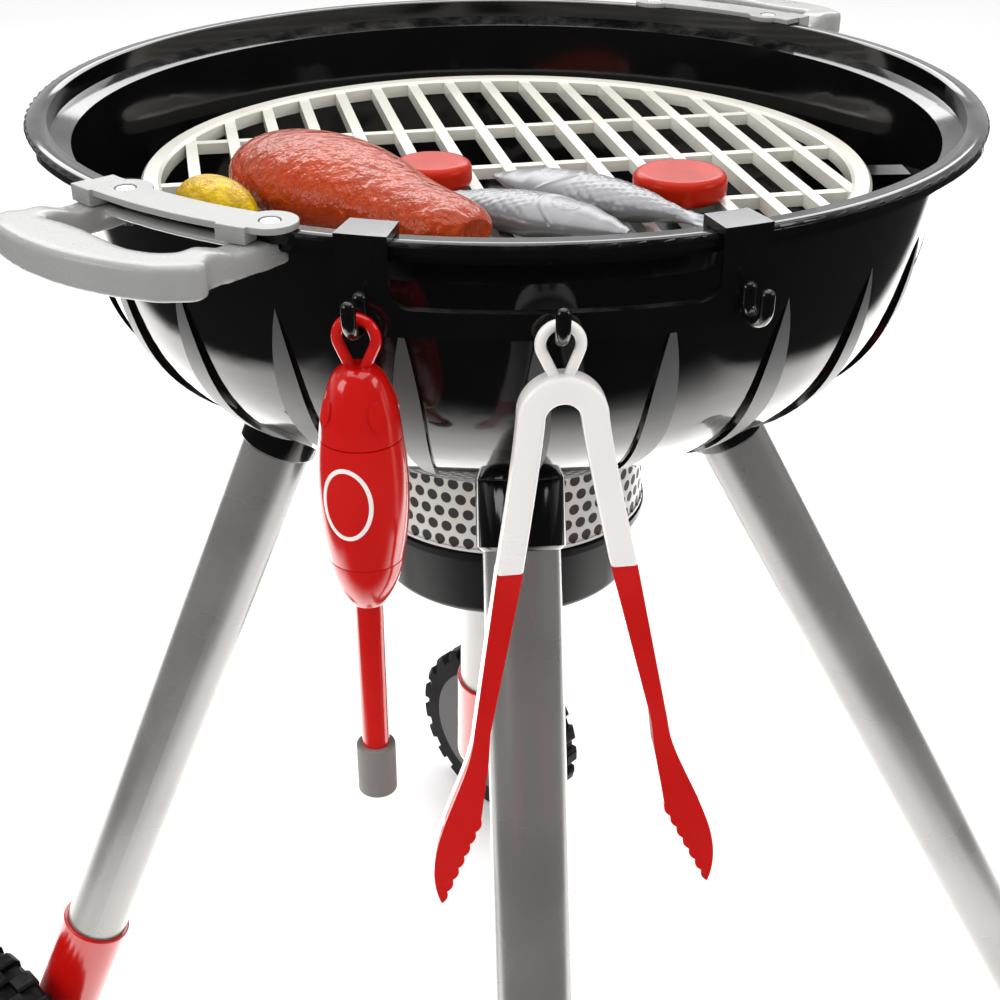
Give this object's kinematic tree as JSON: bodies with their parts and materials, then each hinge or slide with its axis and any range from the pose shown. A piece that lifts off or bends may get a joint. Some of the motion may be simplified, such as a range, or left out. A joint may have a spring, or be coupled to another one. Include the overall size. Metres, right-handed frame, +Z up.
{
  "type": "toy kettle barbecue grill",
  "caption": "Toy kettle barbecue on four splayed tube legs, two wheeled, with lift-out grate, side handles, clip-on hook rail, hanging igniter, sprung tongs and play food.",
  "frame": {"origin": "on the floor below the bowl's axis", "axes": "+Z up, -Y towards the front leg with the hook rail, +X to the right as seen from the front"},
  "size_m": [0.5974, 0.5974, 0.5098],
  "materials": {
    "black_plastic": "glossy moulded black",
    "silver_tube": "satin silver paint",
    "silver_band": "satin silver with printed dots",
    "red_plastic": "glossy red",
    "grey_plastic": "glossy light grey",
    "steel": "plain steel",
    "black_tyre": "matt black",
    "hub_grey": "satin dark grey",
    "cream_plastic": "cream",
    "roast_plastic": "roast brown-red",
    "fish_silver": "satin silver-grey",
    "yellow_plastic": "yellow",
    "tomato_red": "red",
    "tip_grey": "matt grey",
    "white_plastic": "white"
  },
  "bodies": {
    "frame": {"kettle_bowl": "black_plastic", "vent_band": "silver_band", "ash_pot": "black_plastic", "floor_screws": "steel", "leg_socket_front": "black_plastic", "leg_socket_right": "black_plastic", "leg_socket_rear": "black_plastic", "leg_socket_left": "black_plastic", "leg_tube_front": "silver_tube", "leg_tube_right": "silver_tube", "leg_tube_rear": "silver_tube", "leg_tube_left": "silver_tube", "foot_cap_front": "black_plastic", "foot_cap_right": "black_plastic", "wheel_sleeve_rear": "red_plastic", "wheel_sleeve_left": "red_plastic", "wheel_axle_rear": "steel", "wheel_axle_left": "steel", "axle_cap_rear": "black_plastic", "axle_cap_left": "black_plastic", "hook_rail": "black_plastic", "handle_clip_left": "grey_plastic", "handle_clip_right": "grey_plastic", "handle_grip_left": "grey_plastic", "handle_grip_right": "grey_plastic", "handle_screws": "steel"},
    "wheel_rear": {"tyre_rear": "black_tyre", "hub_rear": "hub_grey"},
    "wheel_left": {"tyre_left": "black_tyre", "hub_left": "hub_grey"},
    "grate": {"cooking_grate": "cream_plastic", "drumstick": "roast_plastic", "fish_front": "fish_silver", "fish_back": "fish_silver", "corn_piece": "yellow_plastic", "tomato_slices": "tomato_red"},
    "igniter": {"igniter_cap": "red_plastic", "igniter_body": "red_plastic", "igniter_nose": "red_plastic", "igniter_rod": "red_plastic", "igniter_tip": "tip_grey"},
    "tongs": {"tongs_bow": "white_plastic"},
    "tongs_arm_left": {"tongs_arm_left": "white_plastic", "tongs_blade_left": "red_plastic"},
    "tongs_arm_right": {"tongs_arm_right": "white_plastic", "tongs_blade_right": "red_plastic"}
  },
  "joints": [
    {"name": "wheel_rear_spin", "type": "hinge", "parent": "frame", "child": "wheel_rear", "pos_m": [0.01121, 0.23878, 0.0558], "axis": [0.7071, 0.7071, 0], "continuous": true},
    {"name": "wheel_left_spin", "type": "hinge", "parent": "frame", "child": "wheel_left", "pos_m": [-0.23878, -0.01121, 0.0558], "axis": [-0.7071, -0.7071, 0], "continuous": true},
    {"name": "grate_lift", "type": "slide", "parent": "frame", "child": "grate", "axis": [0, 0, 1], "range_m": [0, 0.06]},
    {"name": "igniter_swing", "type": "hinge", "parent": "frame", "child": "igniter", "pos_m": [-0.05071, -0.16587, 0.4847], "axis": [-0.2924, -0.9563, 0], "range_deg": [-12, 1.5]},
    {"name": "tongs_swing", "type": "hinge", "parent": "frame", "child": "tongs", "pos_m": [0.00363, -0.17341, 0.4847], "axis": [0.0209, -0.9998, 0], "range_deg": [-0.5, 10]},
    {"name": "tongs_squeeze_left", "type": "hinge", "parent": "tongs", "child": "tongs_arm_left", "pos_m": [-0.00399, -0.17357, 0.45656], "axis": [0.0209, -0.9998, 0], "range_deg": [0, 4.5], "stiffness_Nm_per_rad": 0.25},
    {"name": "tongs_squeeze_right", "type": "hinge", "parent": "tongs", "child": "tongs_arm_right", "pos_m": [0.01359, -0.1732, 0.45729], "axis": [0.0209, -0.9998, 0], "range_deg": [-4.5, 0], "stiffness_Nm_per_rad": 0.25}
  ],
  "couplings": [
    {"joint": "tongs_squeeze_right", "follows": "tongs_squeeze_left", "ratio": -1}
  ]
}
